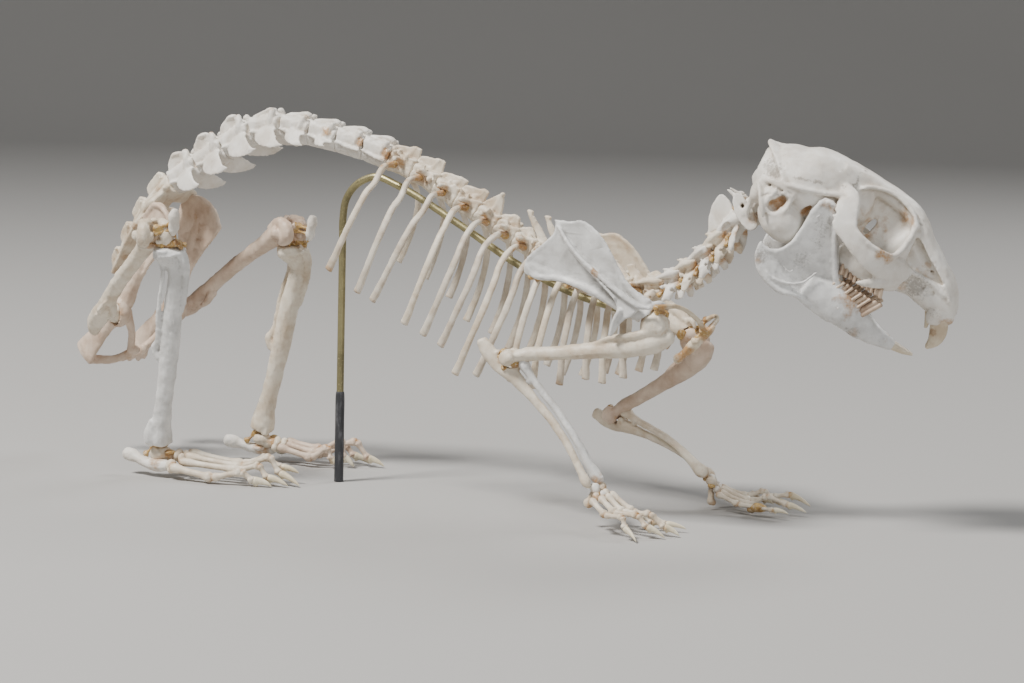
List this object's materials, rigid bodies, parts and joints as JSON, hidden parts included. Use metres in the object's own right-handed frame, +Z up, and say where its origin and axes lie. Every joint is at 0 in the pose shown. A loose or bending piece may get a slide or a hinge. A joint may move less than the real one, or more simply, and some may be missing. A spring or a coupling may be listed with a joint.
{
  "type": "mounted pika skeleton",
  "caption": "Skeleton of a pika, crouching with bent hind legs and raised head, held by one bent wire that runs under its backbone to the floor.",
  "frame": {"origin": "on the floor, under the middle of the bounding box", "axes": "+X towards the head, +Y to the animal's left, +Z up"},
  "size_m": [0.1692, 0.0514, 0.0673],
  "materials": {
    "bone_ivory": "dry ivory bone, matt to satin",
    "bone_chalk": "pale chalky bone, matt",
    "bone_amber": "bone stained yellow-brown by dried ligament and glue",
    "wire": "dull olive brass",
    "sleeve": "dark grey, matt"
  },
  "bodies": {
    "root": {"sacrum": "bone_ivory", "loin": "bone_ivory", "thorax_right": "bone_ivory", "thorax_left": "bone_ivory", "thigh_bone_right": "bone_ivory", "thigh_bone_left": "bone_ivory", "hind_paw_right": "bone_ivory", "hind_paw_left": "bone_ivory", "ulna_right": "bone_ivory", "ulna_left": "bone_ivory", "radius_right": "bone_ivory", "radius_left": "bone_ivory", "arm_bone_right": "bone_ivory", "arm_bone_left": "bone_ivory", "fore_paw_right": "bone_ivory", "fore_paw_left": "bone_ivory", "collar_bone_right": "bone_ivory", "collar_bone_left": "bone_ivory", "skull": "bone_chalk", "lower_jaw": "bone_chalk", "shin_bone_right": "bone_chalk", "shin_bone_left": "bone_chalk", "kneecap_right": "bone_chalk", "kneecap_left": "bone_chalk", "shoulder_blade_right": "bone_chalk", "shoulder_blade_left": "bone_chalk", "neck": "bone_amber", "hip_bone_right": "bone_amber", "hip_bone_left": "bone_amber", "breastbone": "bone_amber", "stand_wire_upright": "wire", "stand_wire_bend": "wire", "stand_wire_rail": "wire", "stand_wire_foot": "sleeve"}
  },
  "joints": []
}
